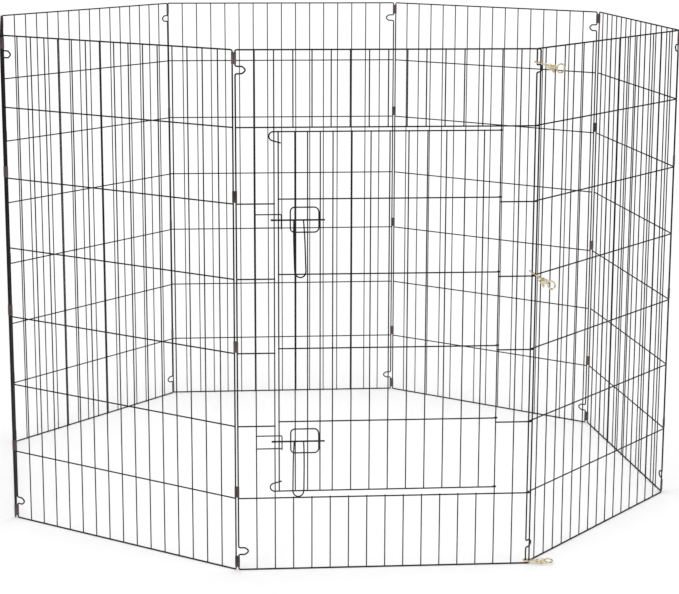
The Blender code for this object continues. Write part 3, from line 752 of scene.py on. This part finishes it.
def floor_finish():
    """Pale matt floor with a trace of mottling."""
    made, bsdf, link, add = shader("studio_floor")
    place = add("ShaderNodeTexCoord").outputs["Object"]
    mottle = add("ShaderNodeTexNoise", Scale=3.0, Detail=3.0)
    link(place, mottle.inputs["Vector"])
    tones = ((0.0, (0.90, 0.90, 0.90)), (1.0, (0.93, 0.93, 0.93)))
    link(ramp(add, link, mottle.outputs["Fac"], tones), bsdf.inputs["Base Color"])
    bsdf.inputs["Roughness"].default_value = 0.9
    bsdf.inputs["Specular IOR Level"].default_value = 0.1
    distance = add("ShaderNodeVectorMath", operation="LENGTH")
    link(place, distance.inputs[0])
    fade = add("ShaderNodeMapRange", interpolation_type="SMOOTHSTEP")
    fade.inputs["From Min"].default_value, fade.inputs["From Max"].default_value = FLOOR_FADE
    link(distance.outputs["Value"], fade.inputs["Value"])
    blend = add("ShaderNodeMixShader")
    link(fade.outputs["Result"], blend.inputs["Fac"])
    link(bsdf.outputs["BSDF"], blend.inputs[1])
    link(add("ShaderNodeBsdfTransparent").outputs["BSDF"], blend.inputs[2])
    link(blend.outputs["Shader"], made.node_tree.nodes["Material Output"].inputs["Surface"])
    return made


def snap_hook(matrix, stud_turn):
    """The snap's cast body: hook, shank, and a hollow barrel with the thumb piece's slot."""
    barrel = Shape()
    barrel.lathe([(x * MM, r * MM) for x, r in BARREL], sides=28, closed=True)
    cutter = Shape(Matrix.Rotation(stud_turn, 4, "X"))
    (low, high), side = SLOT_DEPTHS, SLOT_HALF_WIDTH
    section = [(low, -side), (low, side), (high, side), (high, -side)]
    cutter.rings([[Vector((x, y, z)) for y, z in section] for x in SLOT])
    shape = barrel.without(cutter)
    shape.matrix = matrix
    shape.points = [matrix @ point for point in shape.points]
    path = [Vector((x * MM, y * MM, 0)) for x, y in HOOK_RUN]
    for x, y in arc((-HOOK_NOSE, HOOK_WIDTH / 2), HOOK_WIDTH / 2, 90, 270, 16) + [(-HOOK_TIP, 0.0)]:
        path.append(Vector((x, y, 0)))
    points = rounded(path, HOOK_BEND)
    root, loss, tip_share = HOOK_RADII
    radii = [(root - loss * i / (len(points) - 1)) * MM for i in range(len(points))]
    radii[-1] *= tip_share
    shape.wire(points, radii, sides=14)
    return shape


def snap_gate(matrix, stud_turn):
    """The gate rod, and its thumb piece: a stem through the slot under a swept-back fin."""
    shape = Shape(matrix)
    shape.lathe([(x * MM, r * MM) for x, r in GATE], sides=14)
    shape.matrix = matrix @ Matrix.Rotation(stud_turn, 4, "X")
    shape.wire([Vector((STEM_PLACE, y, 0)) for y in STEM_RUN], STEM_RADIUS, sides=10)
    rings = []
    for along, inner, outer, thick in FIN:
        ring = []
        for j in range(20):
            angle = 2 * math.pi * j / 20
            waves = (math.cos(angle), math.sin(angle))
            across, through = (math.copysign(abs(wave) ** FIN_SQUARENESS, wave) for wave in waves)
            out = (inner + outer) / 2 + (outer - inner) / 2 * across
            ring.append(Vector((along, -out, thick * through)) * MM)
        rings.append(ring)
    shape.rings(rings)
    return shape


def snap_eye(matrix):
    """The swivel: a stem with a collar and a round eye, thicker where it leaves the stem."""
    shape = Shape(matrix)
    shape.lathe([(x * MM, r * MM) for x, r in SWIVEL], sides=20)
    points, radii = [], []
    for i in range(40):
        angle = 2 * math.pi * i / 40
        along, aside = EYE_RADIUS[0] * math.cos(angle), EYE_RADIUS[1] * math.sin(angle)
        points.append(Vector((EYE_CENTRE + along, aside, 0)))
        near = max(0.0, -math.cos(angle)) ** 6
        radii.append((EYE_WIRE[0] + EYE_WIRE[1] * near) * MM)
    shape.wire(points, radii, closed=True, sides=14)
    return shape


def area_light(name, place, size, power, target):
    """A round lamp that faces its target."""
    data = bpy.data.lights.new(name, "AREA")
    data.shape = "DISK"
    data.size = size
    data.energy = power
    made = bpy.data.objects.new(name, data)
    made.location = place
    made.rotation_mode = "QUATERNION"
    made.rotation_quaternion = (Vector(target) - Vector(place)).to_track_quat("-Z", "Y")
    bpy.context.scene.collection.objects.link(made)


def studio_floor():
    """The pale disc that the pen stands on."""
    reach = FLOOR_FADE[1]
    turns = [2 * math.pi * i / FLOOR_SIDES for i in range(FLOOR_SIDES)]
    rim = [(reach * math.cos(turn), reach * math.sin(turn), FLOOR_SUNK) for turn in turns]
    mesh = bpy.data.meshes.new("floor")
    mesh.from_pydata(rim, [], [tuple(range(FLOOR_SIDES))])
    mesh.materials.append(floor_finish())
    floor = bpy.data.objects.new("floor", mesh)
    bpy.context.scene.collection.objects.link(floor)
    floor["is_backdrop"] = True


def studio_world():
    """White to the camera, softer as light, and darker in reflections, which the lamps fill."""
    world = bpy.data.worlds.new("studio")
    world.use_nodes = True
    nodes, link = world.node_tree.nodes, world.node_tree.links.new
    path = nodes.new("ShaderNodeLightPath")
    strength = None
    for ray, level in (("Is Camera Ray", CAMERA_LEVEL), ("Is Glossy Ray", GLOSS_LEVEL)):
        added = nodes.new("ShaderNodeMath")
        added.operation = "MULTIPLY_ADD"
        added.inputs[1].default_value = level - LIGHT_LEVEL
        link(path.outputs[ray], added.inputs[0])
        if strength is None:
            added.inputs[2].default_value = LIGHT_LEVEL
        else:
            link(strength, added.inputs[2])
        strength = added.outputs["Value"]
    link(strength, nodes["Background"].inputs["Strength"])
    nodes["Background"].inputs["Color"].default_value = (1.0, 1.0, 1.0, 1.0)
    bpy.context.scene.world = world


def studio_camera():
    """The scene's camera, from its place, angles and lens."""
    yaw, pitch_up, roll = (math.radians(a) for a in (CAMERA_YAW, CAMERA_PITCH, CAMERA_ROLL))
    level = math.cos(pitch_up)
    ahead = Vector((-math.sin(yaw) * level, math.cos(yaw) * level, math.sin(pitch_up)))
    level_right = Vector((math.cos(yaw), math.sin(yaw), 0))
    up = level_right.cross(ahead)
    right = level_right * math.cos(roll) + up * math.sin(roll)
    up = up * math.cos(roll) - level_right * math.sin(roll)
    lens = bpy.data.cameras.new("camera")
    lens.sensor_width = 36.0
    lens.lens = CAMERA_LENS
    lens.clip_end = 200.0
    camera = bpy.data.objects.new("camera", lens)
    turn = Matrix((right, up, -ahead)).transposed()
    camera.matrix_world = Matrix.Translation(CAMERA_PLACE) @ turn.to_4x4()
    bpy.context.scene.collection.objects.link(camera)
    bpy.context.scene.camera = camera


jitter = random.Random(SEED)


wire_coat = coated("black_wire_coat", (0.006, 0.005, 0.0055), (0.020, 0.015, 0.016), (0.30, 0.52), 0.35)
clip_coat = coated("clip_sheet_coat", (0.050, 0.036, 0.036), (0.150, 0.108, 0.108), (0.28, 0.50), 0.45)
plate = brass("pale_brass_plate")

# The front panel's frame: its left post's axis is half a wire inside the box, and its plane is in
# front of the door's hinge wire, which is an upright.
joint_at = {joint["child"]: Vector(joint["pos_m"]) for joint in frame["joints"] if "pos_m" in joint}
hinge = joint_at["door"]
front = panel_matrix(Vector((panel_low.x + CAD_WIRE / 2, hinge.y - LAP)), 0.0)

rods = {level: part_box("bolt_rod_" + level) for level in ("upper", "lower")}
levels = {level: (low.z + high.z) / 2 - floor_wire for level, (low, high) in rods.items()}
front_panel(front, levels.values()).piece(
    "front_panel_wires", wire_coat, "front_panel", "black_wire", "door_panel")
door(front).piece("door_wires", wire_coat, "door", "black_wire", "door")
for level, (low, high) in rods.items():
    axis = Vector((0, (low.y + high.y) / 2, (low.z + high.z) / 2))
    on_rod = Matrix.Translation(axis)
    rod(on_rod, low.x, high.x).piece(
        "bolt_" + level, wire_coat, "bolt_" + level, "black_wire", "bolt_rod_" + level)
    low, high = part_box("bolt_handle_" + level)
    half = CAD_LATCH_HALF
    handle(on_rod, low.x + half, high.x - half, axis.z - low.z - half, HANDLE_LEANS[level]).piece(
        "handle_of_bolt_" + level, wire_coat, "handle_" + level, "black_wire", "bolt_handle_" + level)
    low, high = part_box("bolt_guide_" + level)
    inside = front.inverted()
    low, high = inside @ low, inside @ high
    guide(front, low.x + half, high.x - half, low.z + half, high.z - half).piece(
        "guide_of_bolt_" + level, wire_coat, "door", "black_wire", "bolt_guide_" + level)

for node in sorted(frame["nodes"]):
    if node.startswith("panel_"):
        post = joint_at[node]
        place = panel_frame(node, Vector((post.x, post.y)))
        plain_panel(place, jitter).piece(node + "_wires", wire_coat, node, "black_wire", node)

body_nodes = frame["record"]["behaviour"]["bodies"]
body_of = {node: body for body, nodes in body_nodes.items() for node in nodes}
for node in sorted(frame["nodes"]):
    if node.startswith("hinge_clip_"):
        at = clip_matrix(node) @ Matrix.Translation((0, 0, jitter.uniform(-CLIP_SHIFT, CLIP_SHIFT)))
        name = node.replace("hinge_clip", "clip")
        clip(at).piece(name, clip_coat, body_of[node], "clip_sheet", node, sharp=50)

joint_of = {joint["name"]: joint for joint in frame["joints"]}
for level in ("top", "middle", "bottom"):
    joint = joint_of["snap_eye_spin_" + level]
    axis = Vector(joint["axis"])
    eye_centre = Vector(joint["pos_m"])
    at = Matrix.Translation(eye_centre - axis * EYE_CENTRE)
    at = at @ Matrix.Rotation(math.asin(-axis.z), 4, "Y")
    stud_turn = math.radians(STUD_TURNS[level])
    eye_at = at @ Matrix.Rotation(math.radians(EYE_TURNS[level]), 4, "X")
    pieces = {
        "hook": ("front_panel", snap_hook(at, stud_turn)),
        "gate": ("snap_gate_" + level, snap_gate(at, stud_turn)),
        "eye": ("snap_eye_" + level, snap_eye(eye_at)),
    }
    for kind, (body, shape) in pieces.items():
        shape.piece(f"{kind}_of_snap_{level}", plate, body, "pale_brass", f"snap_{kind}_{level}")


studio_floor()
studio_world()
for name, place, size, power, target in LAMPS:
    area_light(name, place, size, power, target)
studio_camera()
bpy.context.scene.view_settings.view_transform = "Standard"

low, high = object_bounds()
